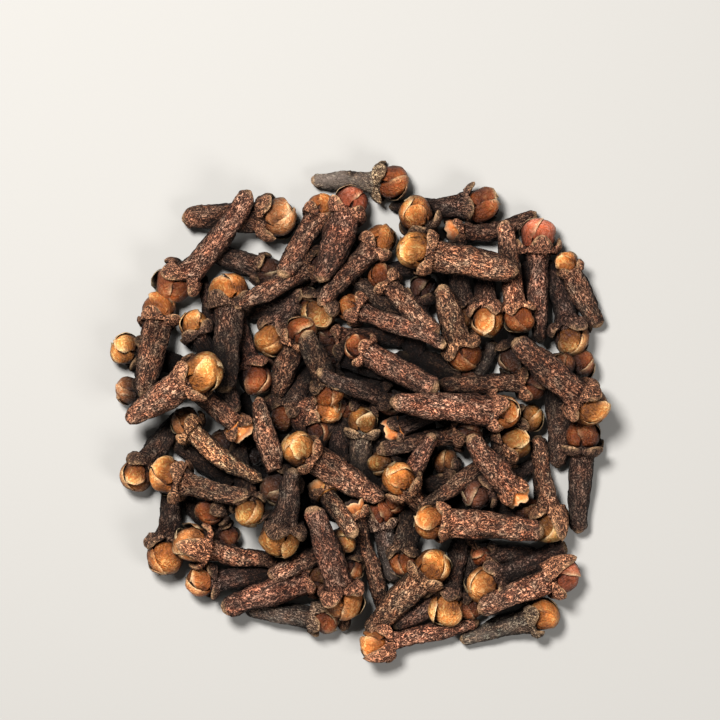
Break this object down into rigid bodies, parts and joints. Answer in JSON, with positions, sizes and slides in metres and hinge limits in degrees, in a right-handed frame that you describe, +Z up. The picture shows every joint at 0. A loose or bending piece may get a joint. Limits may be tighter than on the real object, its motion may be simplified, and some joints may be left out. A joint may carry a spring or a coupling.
{
  "type": "heap of whole cloves",
  "caption": "Loose, thin heap of whole dried cloves, with wrinkled stems and round buds, lying as poured on a flat surface.",
  "frame": {"origin": "the middle of the heap's outline, on the surface that it lies on", "axes": "+Z up; +Y towards the top edge of the picture, +X towards its right edge"},
  "size_m": [0.0622, 0.0622, 0.012],
  "materials": {
    "clove": "dry, finely wrinkled, dark brown stems with orange-brown buds"
  },
  "bodies": {
    "root": {"cloves": "clove"}
  },
  "joints": []
}
